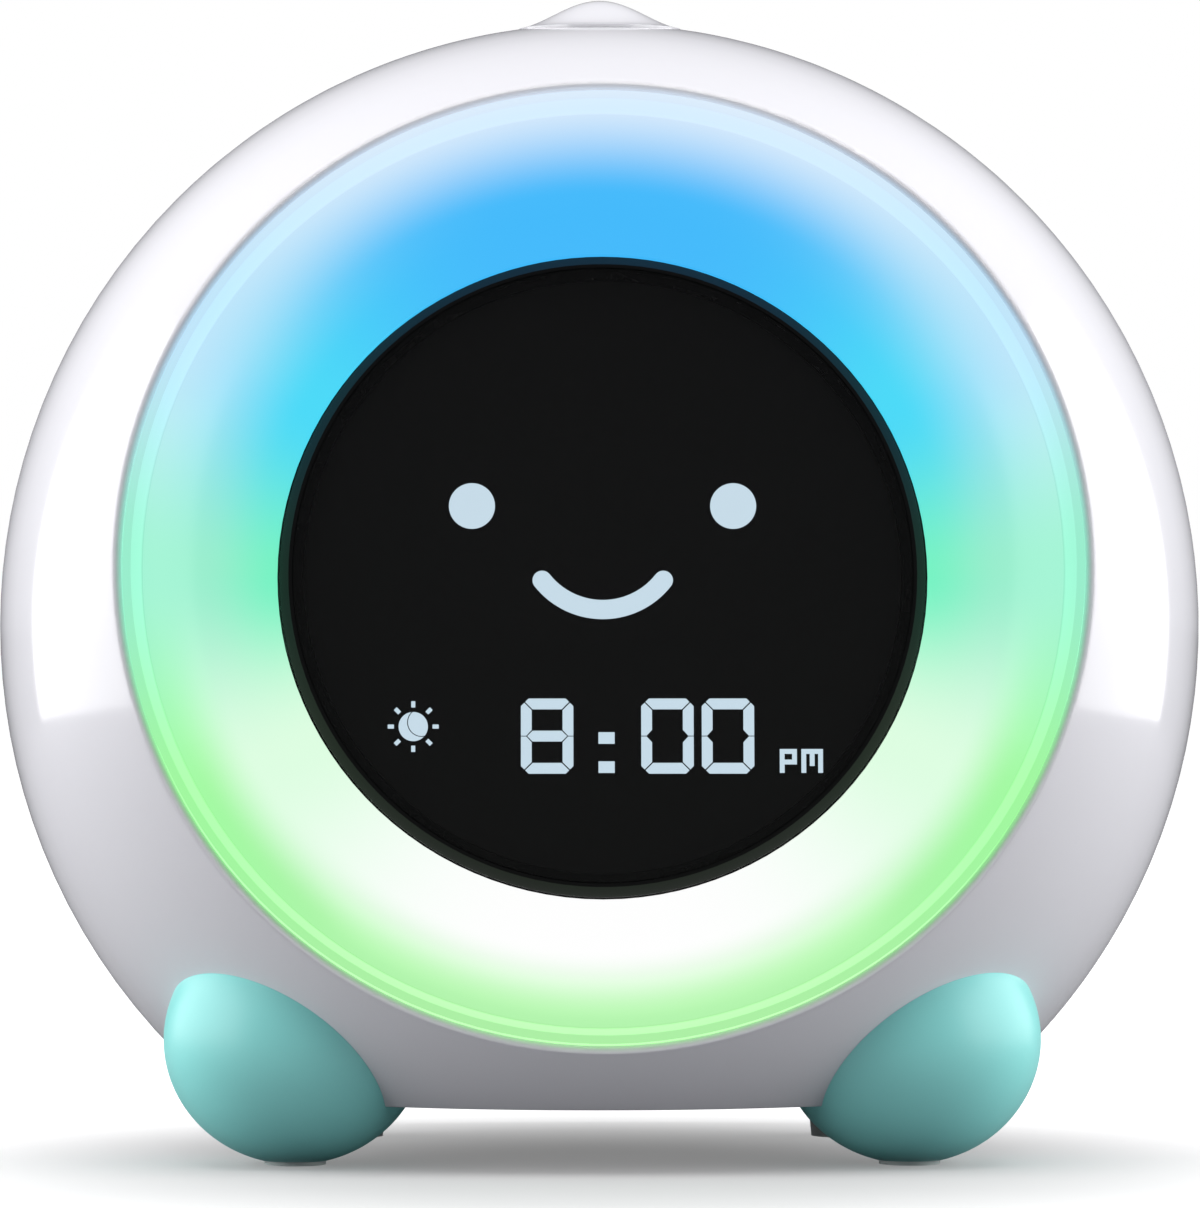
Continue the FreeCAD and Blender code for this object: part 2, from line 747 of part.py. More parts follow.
# Light tray: a white plate with walls, which carries the bowl, the puck, the lamps and the boards
TRAY_FRONT = "-tray_depth"
TRAY_BACK = "-tray_depth - tray_floor"
ears = []
for angle in EAR_ANGLES:
    arm = solid(
        "Box",
        (0, "-ear_radius", TRAY_BACK),
        Length="ear_circle",
        Width="2 * ear_radius",
        Height="tray_floor",
    )
    arm_turned = group(arm)
    arm_turned.Placement.Rotation = FreeCAD.Rotation(FreeCAD.Vector(0, 0, 1), angle)
    ears.append(arm_turned)
ears += [rod("ear_radius", "tray_floor", (x, y, TRAY_BACK)) for x, y in ear_places]
post_places = [(f"{sx} * post_x", f"{sy} * post_y") for sx in (-1, 1) for sy in (-1, 1)]
FLANGE_BACK = "-flange_top - flange_thick"
BOWL_BACK = "-bowl_depth - bowl_skin"
tray_solid = fuse(
    rod(BOWL_OUT, "tray_floor", (0, 0, TRAY_BACK)),
    cut(
        rod(BOWL_OUT, f"{FLANGE_BACK} + tray_depth", (0, 0, TRAY_FRONT)),
        rod(f"{BOWL_OUT} - tray_wall", THROUGH, (0, 0, TRAY_FRONT)),
    ),
    cut(
        rod(f"{BOWL_IN} + 0.2 + tray_wall", f"{BOWL_BACK} + tray_depth", (0, 0, TRAY_FRONT)),
        rod(f"{BOWL_IN} + 0.2", THROUGH, (0, 0, TRAY_FRONT)),
    ),
    rod("puck_radius", f"{PUCK_BACK} + tray_depth", (0, 0, TRAY_FRONT)),
    *[rod("post_radius", "post_long", (x, y, f"{TRAY_BACK} - post_long")) for x, y in post_places],
    *ears,
)
TRAY_WIRE_HOLE = 9
keep(
    "light_tray",
    cut(
        tray_solid,
        rod(TRAY_WIRE_HOLE, THROUGH, (0, 0, f"-{THROUGH} / 2 - 1")),
        *[rod("screw_radius + 0.2", 10, (x, y, f"{TRAY_BACK} - 1")) for x, y in ear_places],
        *[rod("small_screw_radius + 0.15", 20, (x, y, -30)) for x, y in puck_screw_places],
        *[
            rod("screw_radius + screw_gap", 7, (x, y, f"{TRAY_BACK} - post_long - 0.5"))
            for x, y in post_places
        ],
    ),
    face=True,
)


def back_screw(x, y, seat, long, radius="screw_radius", head="screw_head", head_thick="head_thick"):
    """A screw put in from behind the tray: its head lies below the seat."""
    return fuse(
        rod(head, head_thick, (x, y, f"{seat} - {head_thick}")),
        rod(radius, long, (x, y, seat)),
    )


keep(
    "tray_screws",
    group(*[back_screw(x, y, TRAY_BACK, "tray_floor + 6") for x, y in ear_places]),
    face=True,
)
PUCK_SCREW_LONG = f"({PUCK_BACK}) + tray_depth + tray_floor + {PUCK_SCREW_IN}"
keep(
    "display_screws",
    group(*[
        back_screw(x, y, TRAY_BACK, PUCK_SCREW_LONG, "small_screw_radius", "1.7", "small_head_thick")
        for x, y in puck_screw_places
    ]),
    face=True,
)

# Lamp ring under the bowl
keep(
    "lamp_board",
    cut(
        rod("lamp_board_outer", "board_thick", (0, 0, TRAY_FRONT)),
        rod("lamp_board_inner", "board_thick", (0, 0, TRAY_FRONT)),
    ),
    face=True,
)
lamps = []
for angle in range(0, 360, 30):
    lamp = solid(
        "Box",
        ("lamp_circle - lamp_side / 2", "-lamp_side / 2", "board_thick - tray_depth"),
        Length="lamp_side",
        Width="lamp_side",
        Height="lamp_thick",
    )
    lamp_turned = group(lamp)
    lamp_turned.Placement.Rotation = FreeCAD.Rotation(FreeCAD.Vector(0, 0, 1), angle)
    lamps.append(lamp_turned)
keep("ring_lamps", group(*lamps), face=True)

# Main board on the tray's posts, with its chips, capacitors and plugs behind it
MAIN_FRONT = f"{TRAY_BACK} - post_long"
MAIN_BACK = f"{MAIN_FRONT} - board_thick"
keep(
    "main_board",
    cut(
        block(
            ("-main_wide / 2", "main_wide / 2"),
            ("-main_tall / 2", "main_tall / 2"),
            (MAIN_BACK, MAIN_FRONT),
        ),
        *[rod("screw_radius + 0.2", 10, (x, y, f"{MAIN_BACK} - 2")) for x, y in post_places],
    ),
    face=True,
)
keep(
    "board_screws",
    group(*[back_screw(x, y, MAIN_BACK, "board_thick + 5") for x, y in post_places]),
    face=True,
)


def on_main(left, low, wide, tall, thick):
    return block((left, left + wide), (low, low + tall), (f"{MAIN_BACK} - {thick}", MAIN_BACK))


keep(
    "board_chips",
    group(on_main(-8, -6, 14, 14, 1.4), on_main(14, 6, 8, 10, 1.5), on_main(-28, 2, 7, 7, 1.2)),
    face=True,
)
keep(
    "board_capacitors",
    group(*[
        rod(3.2, 8, (x, y, f"{MAIN_BACK} - 8")) for x, y in ((26, -14), (17, -14), (-24, -14))
    ]),
    face=True,
)
keep(
    "board_plugs",
    group(on_main(-14, 20, 12, 5, 6), on_main(4, 20, 9, 5, 6), on_main(-6, -26, 16, 5, 6)),
    face=True,
)

# Feet: soft egg shapes that meet the shell's outside, with a flat pad under each
for side, name in ((-1, "left_foot"), (1, "right_foot")):
    middle = (f"{side} * foot_apart", FOOT_MIDDLE[1], FOOT_MIDDLE[2])
    floor_at = (middle[0], middle[1], "-base_drop - stand_height - 1")
    keep(
        name,
        cut(
            ellipsoid("foot_wide", "foot_deep", "foot_up", middle),
            body_form,
            rod("pad_radius + 0.1", "pad_thick + 1", floor_at),
            toward_foot(side, "screw_radius + screw_gap", f"{SHELL_OUT} - 6", f"{FOOT_SCREW_IN} + 6.5"),
        ),
    )
keep(
    "foot_pads",
    group(*[
        rod("pad_radius", "pad_thick", (f"{side} * foot_apart", "-foot_forward", "-base_drop - stand_height"))
        for side in (-1, 1)
    ]),
)
FOOT_HEAD = f"{SHELL_OUT} - shell_wall - 0.9"
foot_screws = []
for side in (-1, 1):
    foot_screws.append(
        fuse(
            toward_foot(side, "screw_head", f"{FOOT_HEAD} - head_thick", "head_thick"),
            toward_foot(side, "screw_radius", FOOT_HEAD, f"{FOOT_SCREW_IN} + shell_wall + 0.9"),
        )
    )
keep("foot_screws", group(*foot_screws))
keep(
    "rear_feet",
    group(*[
        fuse(
            cone(
                "rear_foot_radius - 0.8",
                "rear_foot_radius",
                "stand_height",
                (x, y, "-base_drop - stand_height"),
            ),
            rod(REAR_PEG_RADIUS, "shell_wall + 0.4", (x, y, "-base_drop")),
        )
        for x, y in rear_foot_places
    ]),
)

# Night light button: a bell-shaped cap that slides in a collar and presses a switch
CAP_BASE = "body_rise - 0.8"
COLLAR_TOP = f"{CAP_BASE} - crown_side - button_travel - 0.2"
COLLAR_IN = "button_radius + fit_gap"
COLLAR_OUT = "button_radius + collar_wall + fit_gap"
COLLAR_BOTTOM = f"{COLLAR_TOP} - collar_long"
FLANGE_AT = f"{COLLAR_TOP} - 2.8"
LEG_X = "collar_flange - 1.6"
BOARD_TOP = "body_rise - button_board_drop"
keep(
    "button_collar",
    cut(
        fuse(
            rod(COLLAR_OUT, "collar_long", (0, 0, COLLAR_BOTTOM)),
            rod("collar_flange", 1.6, (0, 0, FLANGE_AT)),
            *[
                rod(1.5, f"{FLANGE_AT} - ({BOARD_TOP})", (f"{side} * ({LEG_X})", 0, BOARD_TOP))
                for side in (-1, 1)
            ],
        ),
        rod(COLLAR_IN, THROUGH, (0, 0, f"{COLLAR_BOTTOM} - 1")),
        *[
            rod("small_screw_radius + screw_gap", 5, (f"{side} * ({LEG_X})", 0, f"{BOARD_TOP} - 0.5"))
            for side in (-1, 1)
        ],
    ),
)


def bell_cap():
    """The cap's domed top, turned from half a cosine wave, on a short straight side."""
    base = size("body_rise") - 0.8
    radius = size("crown_radius")
    steps = 12
    crown = []
    for n in range(steps + 1):
        out = radius * n / steps
        wave = (1 + math.cos(math.pi * out / size("bell_radius"))) / 2
        crown.append(FreeCAD.Vector(out, 0, base + size("bell_height") * wave))
    curve = Part.BSplineCurve()
    curve.interpolate(crown)
    foot = FreeCAD.Vector(radius, 0, base - size("crown_side"))
    middle = FreeCAD.Vector(0, 0, base - size("crown_side"))
    edges = [
        curve.toShape(),
        Part.makeLine(crown[-1], foot),
        Part.makeLine(foot, middle),
        Part.makeLine(middle, crown[0]),
    ]
    profile = Part.Face(Part.Wire(edges))
    return profile.revolve(FreeCAD.Vector(), FreeCAD.Vector(0, 0, 1), 360)


CUP_BOTTOM = f"{COLLAR_BOTTOM} - 0.3 - 1.6"
CUP_CEILING = f"{CAP_BASE} - 3"
PLUNGER_END = f"{BOARD_TOP} + 4.9 + button_travel"
keep(
    "light_button",
    cut(
        fuse(
            curve_solid(bell_cap()),
            rod("button_radius", f"{CAP_BASE} - crown_side - ({CUP_BOTTOM})", (0, 0, CUP_BOTTOM)),
            rod("button_radius + 1.4", 1.6, (0, 0, CUP_BOTTOM)),
        ),
        cut(
            rod("button_radius - 1.8", THROUGH, (0, 0, f"{CUP_CEILING} - {THROUGH}")),
            rod(2, THROUGH, (0, 0, f"{CUP_CEILING} - {THROUGH}")),
        ),
        rod(2.5, THROUGH, (0, 0, f"{PLUNGER_END} - {THROUGH}")),
    ),
)
keep(
    "button_board",
    cut(
        block(("-17", "17"), (-9, 9), (f"{BOARD_TOP} - board_thick", BOARD_TOP)),
        *[rod("board_hole", 10, (f"{side} * ({LEG_X})", 0, f"{BOARD_TOP} - 5")) for side in (-1, 1)],
    ),
)
keep(
    "button_switch",
    fuse(
        block((-3, 3), (-3, 3), (BOARD_TOP, f"{BOARD_TOP} + 3.5")),
        rod(1.7, 1.3, (0, 0, f"{BOARD_TOP} + 3.5")),
    ),
)
keep(
    "button_screws",
    group(*[
        fuse(
            rod(
                "small_screw_head",
                "small_head_thick",
                (f"{side} * ({LEG_X})", 0, f"{BOARD_TOP} - board_thick - small_head_thick"),
            ),
            rod(
                "small_screw_radius",
                "board_thick + small_screw_in",
                (f"{side} * ({LEG_X})", 0, f"{BOARD_TOP} - board_thick"),
            ),
        )
        for side in (-1, 1)
    ]),
)
SPRING_LOW = f"{BOARD_TOP} + spring_wire / 2 + 0.1"
SPRING_RISE = f"{CUP_CEILING} - ({BOARD_TOP}) - spring_wire - 0.2"
BENDS = 24
steps = round(size("spring_turns") * BENDS)
coil = []
for n in range(steps + 1):
    turn = 2 * math.pi * n / BENDS
    coil.append(
        FreeCAD.Vector(
            size("spring_radius") * math.cos(turn),
            size("spring_radius") * math.sin(turn),
            size(SPRING_LOW) + size(SPRING_RISE) * n / steps,
        )
    )
spring_path = doc.addObject("Part::Polygon", "SpringPath")
spring_path.Nodes = coil
wire_face = doc.addObject("Part::Circle", "WireFace")
wire_face.setExpression("Radius", rule("spring_wire / 2"))
wire_face.Placement = FreeCAD.Placement(
    coil[0], FreeCAD.Rotation(FreeCAD.Vector(0, 0, 1), coil[1] - coil[0])
)
spring = doc.addObject("Part::Sweep", "Spring")
spring.Sections = [wire_face]
spring.Spine = (spring_path, [])
spring.Solid = True
spring.Transition = "Right corner"
keep("button_spring", group(spring))

# Rear cover: a round plate with the speaker's grille, the keys, the battery bay and the socket
COVER_OUT = "rear_flat + cover_thick"
cover_disc = rod("cover_radius", "cover_thick", (0, "rear_flat", 0), "y")
cover_round = rounded(
    cover_disc,
    size("cover_round"),
    lambda edge: abs(edge.BoundBox.YMin - size("rear_flat") - size("cover_thick")) < 0.01,
)
BAY_WIDE = "cell_long / 2 + bay_contact"
BAY_TALL = "6 * cell_radius + 0.8"
BAY_LOW = f"bay_top - bay_wall - ({BAY_TALL})"
BAY_HIGH = "bay_top - bay_wall"
BAY_FLOOR = "rear_flat - 2 * cell_radius - 0.3"
DOOR_WIDE = f"{BAY_WIDE} + door_over"
DOOR_LOW = f"{BAY_LOW} - door_over"
DOOR_HIGH = f"{BAY_HIGH} + door_over"
HINGE_Y = f"{COVER_OUT} - hinge_radius - 0.05"
HINGE_Z = f"{DOOR_LOW} + hinge_radius"
key_places = [(f"{step} * key_pitch", "key_height") for step in (-1.5, -0.5, 0.5, 1.5)]
grille = [(0.0, 0.0)]
for circle, count in enumerate((6, 12, 18, 24), start=1):
    grille += [(circle, 360 * n / count) for n in range(count)]
grille_holes = [
    rod(
        "grille_hole",
        "cover_thick + 2",
        (
            f"grille_pitch * {circle} * cos({angle:.1f})",
            "rear_flat - 1",
            f"speaker_height + grille_pitch * {circle} * sin({angle:.1f})",
        ),
        "y",
    )
    for circle, angle in grille
]


def port_shape(grow, start, length):
    """The socket's rounded slot, grown all round, along Y."""
    half = "(port_wide - port_tall) / 2"
    tall = f"port_tall / 2 + {grow}"
    return fuse(
        block(
            (f"port_x - {half}", f"port_x + {half}"),
            (start, f"{start} + {length}"),
            (f"port_height - ({tall})", f"port_height + {tall}"),
        ),
        *[rod(tall, length, (f"port_x + {side} * {half}", start, "port_height"), "y") for side in (-1, 1)],
    )


BOARD_POST = 10.4
key_post_places = [(f"{side} * key_pitch", "key_height") for side in (-1, 1)]
POT_POST = 3.0
pot_post_places = [("volume_x", f"volume_height + {side} * 10.2") for side in (-1, 1)]
PORT_POST = 8.0
port_post_places = [("port_x", f"port_height + {side} * 6") for side in (-1, 1)]
HINGE_EAR = f"{DOOR_WIDE} + 0.15"
cover_solid = fuse(
    cover_round,
    *[rod(2.4, BOARD_POST, (x, f"rear_flat - {BOARD_POST}", z), "y") for x, z in key_post_places],
    *[rod(1.6, POT_POST, (x, f"rear_flat - {POT_POST}", z), "y") for x, z in pot_post_places],
    *[rod(1.9, PORT_POST, (x, f"rear_flat - {PORT_POST}", z), "y") for x, z in port_post_places],
)
SLOT_HALF = 1.6
keep(
    "rear_cover",
    cut(
        cover_solid,
        *grille_holes,
        *[rod("key_radius + key_gap", 10, (x, "rear_flat - 1", z), "y") for x, z in key_places],
        block(
            (f"-({HINGE_EAR})", HINGE_EAR),
            (f"{COVER_OUT} - door_thick - 0.15", f"{COVER_OUT} + 1"),
            (f"{DOOR_LOW} - 0.2", f"{DOOR_HIGH} + 0.2"),
        ),
        block((f"-({BAY_WIDE})", BAY_WIDE), ("rear_flat - 1", f"{COVER_OUT} + 1"), (BAY_LOW, BAY_HIGH)),
        rod(
            "hinge_pin + 0.06",
            f"2 * ({HINGE_EAR}) + 2.6",
            (f"-({HINGE_EAR}) - 1.3", HINGE_Y, HINGE_Z),
            "x",
        ),
        block(
            (f"volume_x - {SLOT_HALF}", f"volume_x + {SLOT_HALF}"),
            ("rear_flat - 1", f"{COVER_OUT} + 1"),
            (
                "volume_height - volume_travel - knob_half - 0.2",
                "volume_height + volume_travel + knob_half + 0.2",
            ),
        ),
        port_shape("0.35", "rear_flat - 1", "cover_thick + 2"),
        *[rod("screw_radius + 0.3", 10, (x, "rear_flat - 1", z), "y") for x, z in cover_screw_places],
        *[
            rod("screw_head + 0.3", 5, (x, f"{COVER_OUT} - 1.0", z), "y")
            for x, z in cover_screw_places
        ],
        *[
            rod("small_screw_radius + screw_gap", 5, (x, f"rear_flat - {BOARD_POST} - 0.5", z), "y")
            for x, z in key_post_places
        ],
        *[
            rod("small_screw_radius + screw_gap", 5, (x, f"rear_flat - {PORT_POST} - 0.5", z), "y")
            for x, z in port_post_places
        ],
    ),
)
keep(
    "cover_screws",
    group(*[
        screw((x, f"{COVER_OUT} - 1.0", z), 7, "y", head_thick="0.9") for x, z in cover_screw_places
    ]),
)

# Four keys on the back, each over its own switch
SWITCH_BOARD = f"rear_flat - {BOARD_POST} - board_thick"
SWITCH_TOP = f"rear_flat - {BOARD_POST} + 4.6"
KEY_NAMES = ("clock_key", "alarm_key", "down_key", "up_key")
for name, (x, z) in zip(KEY_NAMES, key_places):
    tip = f"{SWITCH_TOP} + key_travel + 0.1"
    cap_back = "rear_flat - 0.1"
    keep(
        name,
        fuse(
            rod("key_radius", f"{COVER_OUT} + key_proud - ({cap_back})", (x, cap_back, z), "y"),
            rod("key_radius + 1", 1.2, (x, f"{cap_back} - 1.2", z), "y"),
            rod(1.6, f"{cap_back} - 1.2 - ({tip})", (x, tip, z), "y"),
        ),
    )
keep(
    "key_board",
    cut(
        block(
            ("-2 * key_pitch", "2 * key_pitch"),
            (SWITCH_BOARD, f"{SWITCH_BOARD} + board_thick"),
            ("key_height - 5", "key_height + 5"),
        ),
        *[rod("board_hole", 10, (x, f"{SWITCH_BOARD} - 2", z), "y") for x, z in key_post_places],
    ),
)
BOARD_FACE = f"rear_flat - {BOARD_POST}"
keep(
    "key_switches",
    group(*[
        fuse(
            block((f"{x} - 3", f"{x} + 3"), (BOARD_FACE, f"{BOARD_FACE} + 3.5"), (f"{z} - 3", f"{z} + 3")),
            rod(1.7, 1.1, (x, f"{BOARD_FACE} + 3.5", z), "y"),
        )
        for x, z in key_places
    ]),
)


def small_screw(x, seat, z, long):
    """A small screw whose head lies in front of its seat, driven towards the back."""
    return fuse(
        rod("small_screw_head", "small_head_thick", (x, f"{seat} - small_head_thick", z), "y"),
        rod("small_screw_radius", long, (x, seat, z), "y"),
    )


keep(
    "key_board_screws",
    group(*[small_screw(x, SWITCH_BOARD, z, "board_thick + small_screw_in") for x, z in key_post_places]),
)

# Speaker behind the grille: frame, magnet and cone
SPEAKER_AT = ("0", "speaker_height")


def speaker_rod(radius, front, long):
    return rod(radius, long, (SPEAKER_AT[0], f"rear_flat - {front}", SPEAKER_AT[1]), "y")


def speaker_cone(deep_radius, mouth_radius, front, long):
    return cone(
        deep_radius, mouth_radius, long, (SPEAKER_AT[0], f"rear_flat - {front}", SPEAKER_AT[1]), "y"
    )


keep(
    "speaker_frame",
    cut(
        fuse(
            speaker_rod("speaker_radius", 1.6, 1.6),
            speaker_cone("speaker_radius - 7", "speaker_radius - 1.5", 8, 6.4),
        ),
        speaker_cone("speaker_radius - 8", "speaker_radius - 2.5", 7, 7),
    ),
)
keep("speaker_magnet", group(speaker_rod("speaker_radius - 7", 14, 6)))
keep(
    "speaker_cone",
    fuse(
        cut(
            speaker_cone("speaker_radius - 13", "speaker_radius - 4.6", 5.6, 4.6),
            speaker_cone("speaker_radius - 13.6", "speaker_radius - 5.2", 5.6, 4.6),
        ),
        speaker_rod("speaker_radius - 12.6", 6.4, 1.2),
        cut(speaker_rod("speaker_radius - 3.8", 1.4, 0.4), speaker_rod("speaker_radius - 5.2", 1.4, 0.4)),
    ),
)

# Battery bay: box, three cells, contacts and a hinged door
keep(
    "battery_box",
    cut(
        block(
            (f"-({BAY_WIDE}) - bay_wall", f"{BAY_WIDE} + bay_wall"),
            (f"{BAY_FLOOR} - bay_wall", "rear_flat"),
            (f"{BAY_LOW} - bay_wall", f"{BAY_HIGH} + bay_wall"),
        ),
        block((f"-({BAY_WIDE})", BAY_WIDE), (BAY_FLOOR, "rear_flat + 1"), (BAY_LOW, BAY_HIGH)),
    ),
)
cell_heights = [f"{BAY_LOW} + 0.4 + {2 * n + 1} * cell_radius" for n in range(3)]
CELL_Y = f"{BAY_FLOOR} + cell_radius"
CELL_NUB = 1.0
cells = []
contacts = []
for n, height in enumerate(cell_heights):
    side = 1 if n % 2 == 0 else -1
    nub_at = "cell_long / 2 - 1" if side > 0 else "-cell_long / 2"
    body_at = "-cell_long / 2" if side > 0 else "1 - cell_long / 2"
    cells.append(
        fuse(
            rod("cell_radius - 0.1", "cell_long - 1", (body_at, CELL_Y, height), "x"),
            rod(1.9, CELL_NUB, (nub_at, CELL_Y, height), "x"),
        )
    )
    for end in (-1, 1):
        plate = ("cell_long / 2 + 1.9", BAY_WIDE) if end > 0 else (f"-({BAY_WIDE})", "-cell_long / 2 - 1.9")
        spring_from = "cell_long / 2" if end > 0 else "-cell_long / 2 - 1.9"
        contacts.append(
            fuse(
                block(plate, (f"{CELL_Y} - 4", f"{CELL_Y} + 4"), (f"{height} - 4.4", f"{height} + 4.4")),
                cone(
                    1.5 if end > 0 else 3.2,
                    3.2 if end > 0 else 1.5,
                    1.9,
                    (spring_from, CELL_Y, height),
                    "x",
                ),
            )
        )
keep("battery_cells", group(*cells))
keep("battery_contacts", group(*contacts))
DOOR_OUT = f"{COVER_OUT} - 0.05"
door_plate = block(
    (f"-({DOOR_WIDE})", DOOR_WIDE), (f"{COVER_OUT} - door_thick", DOOR_OUT), (HINGE_Z, DOOR_HIGH)
)
door_barrel = rod("hinge_radius", f"2 * ({DOOR_WIDE})", (f"-({DOOR_WIDE})", HINGE_Y, HINGE_Z), "x")
hinge_pins = rod("hinge_pin", f"2 * ({DOOR_WIDE}) + 2.2", (f"-({DOOR_WIDE}) - 1.1", HINGE_Y, HINGE_Z), "x")
latch_slots = [
    block(
        (f"{side} * 6 - 0.4", f"{side} * 6 + 0.4"),
        (f"{COVER_OUT} - 5", f"{COVER_OUT} + 1"),
        (f"{DOOR_HIGH} - 8", f"{DOOR_HIGH} + 1"),
    )
    for side in (-1, 1)
]
grip_grooves = [
    block(
        (-5, 5),
        (f"{DOOR_OUT} - 0.5", f"{DOOR_OUT} + 1"),
        (f"{DOOR_HIGH} - {down}", f"{DOOR_HIGH} - {down} + 0.7"),
    )
    for down in (2.0, 3.6, 5.2)
]
keep("battery_door", cut(fuse(door_plate, door_barrel, hinge_pins), *latch_slots, *grip_grooves))

# Volume slide: a knob in a slot, on a slide control
KNOB_BACK = f"rear_flat - {POT_POST}"
keep(
    "volume_knob",
    fuse(
        block(
            ("volume_x - 1.3", "volume_x + 1.3"),
            (KNOB_BACK, f"{COVER_OUT} + 0.4"),
            ("volume_height - knob_half", "volume_height + knob_half"),
        ),
        block(
            ("volume_x - 3", "volume_x + 3"),
            ("rear_flat - 1.4", "rear_flat - 0.2"),
            ("volume_height - knob_flange", "volume_height + knob_flange"),
        ),
    ),
)
keep(
    "volume_control",
    group(
        block(
            ("volume_x - 4", "volume_x + 4"),
            (f"{KNOB_BACK} - 6", f"{KNOB_BACK}"),
            ("volume_height - 15.5", "volume_height + 15.5"),
        )
    ),
)

# Power socket on its own small board
PORT_FRONT = f"rear_flat - {PORT_POST}"
keep(
    "power_socket",
    fuse(
        cut(
            port_shape("0", PORT_FRONT, f"{PORT_POST} + cover_thick - 0.5"),
            port_shape("-port_wall", f"{PORT_FRONT} + 2", 20),
        ),
        block(
            ("port_x - 3.3", "port_x + 3.3"),
            (f"{PORT_FRONT} + 1", f"{PORT_FRONT} + 8.5"),
            ("port_height - 0.35", "port_height + 0.35"),
        ),
    ),
)
keep(
    "power_board",
    cut(
        block(
            ("port_x - 6", "port_x + 6"),
            (f"{PORT_FRONT} - board_thick", PORT_FRONT),
            ("port_height - 8", "port_height + 8"),
        ),
        *[rod("board_hole", 10, (x, f"{PORT_FRONT} - 5", z), "y") for x, z in port_post_places],
    ),
)
keep(
    "power_board_screws",
    group(*[
        small_screw(x, f"{PORT_FRONT} - board_thick", z, "board_thick + small_screw_in")
        for x, z in port_post_places
    ]),
)

# Every object is sound before anything is written
doc.recompute()
for item in doc.Objects:
    if "Invalid" in item.State or "Error" in item.State:
        raise ValueError(f"{item.Name} ({item.Label}) failed: {item.State}")
os.makedirs("parts", exist_ok=True)
for item in subparts:
    shape = item.Shape
    if shape.isNull() or not shape.isValid() or not shape.Solids:
        raise ValueError(item.Label + " has no sound shape")
    shape.exportStep(f"parts/{item.Label}.step")
    box = shape.BoundBox
    print(
        f"{item.Label}: {len(shape.Solids)} solids, {shape.Volume:.1f} mm3,"
        f" x {box.XMin:.2f}..{box.XMax:.2f}, y {box.YMin:.2f}..{box.YMax:.2f},"
        f" z {box.ZMin:.2f}..{box.ZMax:.2f}"
    )
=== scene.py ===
import json
import math

import bpy
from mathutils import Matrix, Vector


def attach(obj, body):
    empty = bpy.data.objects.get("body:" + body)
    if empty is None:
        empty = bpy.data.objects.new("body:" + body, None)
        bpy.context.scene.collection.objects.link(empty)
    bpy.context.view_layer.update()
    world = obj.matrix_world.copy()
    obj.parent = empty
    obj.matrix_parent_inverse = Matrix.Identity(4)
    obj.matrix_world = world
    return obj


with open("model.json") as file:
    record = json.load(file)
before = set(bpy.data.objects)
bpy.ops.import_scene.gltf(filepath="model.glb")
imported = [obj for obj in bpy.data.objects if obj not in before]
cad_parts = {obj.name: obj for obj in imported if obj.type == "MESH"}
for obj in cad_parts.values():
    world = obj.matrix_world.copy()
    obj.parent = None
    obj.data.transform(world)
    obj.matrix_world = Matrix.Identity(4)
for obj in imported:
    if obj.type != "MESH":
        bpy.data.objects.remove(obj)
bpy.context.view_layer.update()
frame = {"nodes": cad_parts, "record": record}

# Sizes of the clock that the looks need, in metres
MM = 0.001
MIDDLE_UP = 69.8
BODY_MIDDLE = Vector((0, 0, MIDDLE_UP)) * MM
BODY_RADII = Vector((80, 66, 80.4)) * MM
FACE_TILT = math.radians(8)
FACE_ORIGIN = Vector((0, -41, 78.3)) * MM
FACE_RIGHT = Vector((1, 0, 0))
FACE_UP = Vector((0, math.sin(FACE_TILT), math.cos(FACE_TILT)))
FACE_OUT = Vector((0, -math.cos(FACE_TILT), math.sin(FACE_TILT)))
BOWL_INNER = 42 * MM
BOWL_OUTER = 62 * MM
LIP_ROUND = 0.9 * MM
COVER_FACE = 48.6 * MM
SPLIT_Y = 3 * MM
# Grey of the painted shade along the seam between the two shells
SEAM_PAINTED_SHADE = (0.35, 0.35, 0.37, 1)


def srgb(red, green, blue):
    """A colour written as in a paint chart, 0 to 255, as linear values."""
    values = []
    for part in (red, green, blue):
        part /= 255
        values.append(part / 12.92 if part <= 0.04045 else ((part + 0.055) / 1.055) ** 2.4)
    return (*values, 1.0)


# Colours
GLOSS_WHITE = (0.85, 0.845, 0.885, 1)
COVER_WHITE = (0.80, 0.80, 0.83, 1)
MINT = (0.33, 0.90, 0.86, 1)
KEY_MINT = (0.30, 0.74, 0.71, 1)
BLACK = (0.006, 0.006, 0.006, 1)
STEEL = (0.55, 0.56, 0.58, 1)
BOARD_GREEN = (0.02, 0.16, 0.06, 1)
FIGURE_BLUE = srgb(214, 236, 250)

# The bowl's five zones of light, from the top down: how high on the ring a zone sits, its colour
# near the display and at the rim, and where between the two the change starts and ends
ZONES = (
    (1.0, srgb(64, 186, 252), srgb(222, 238, 253), 0.40, 1.02),
    (0.5, srgb(72, 218, 248), srgb(192, 230, 251), 0.12, 1.0),
    (0.0, srgb(118, 243, 196), srgb(152, 238, 205), 0.0, 0.5),
    (-0.5, srgb(222, 254, 226), srgb(160, 248, 158), 0.45, 0.85),
    (-1.0, srgb(255, 255, 255), srgb(172, 240, 164), 0.35, 0.8),
)
ZONE_STEP = 0.5
BOWL_GLOW = 0.98
FIGURE_GLOW = 1.95


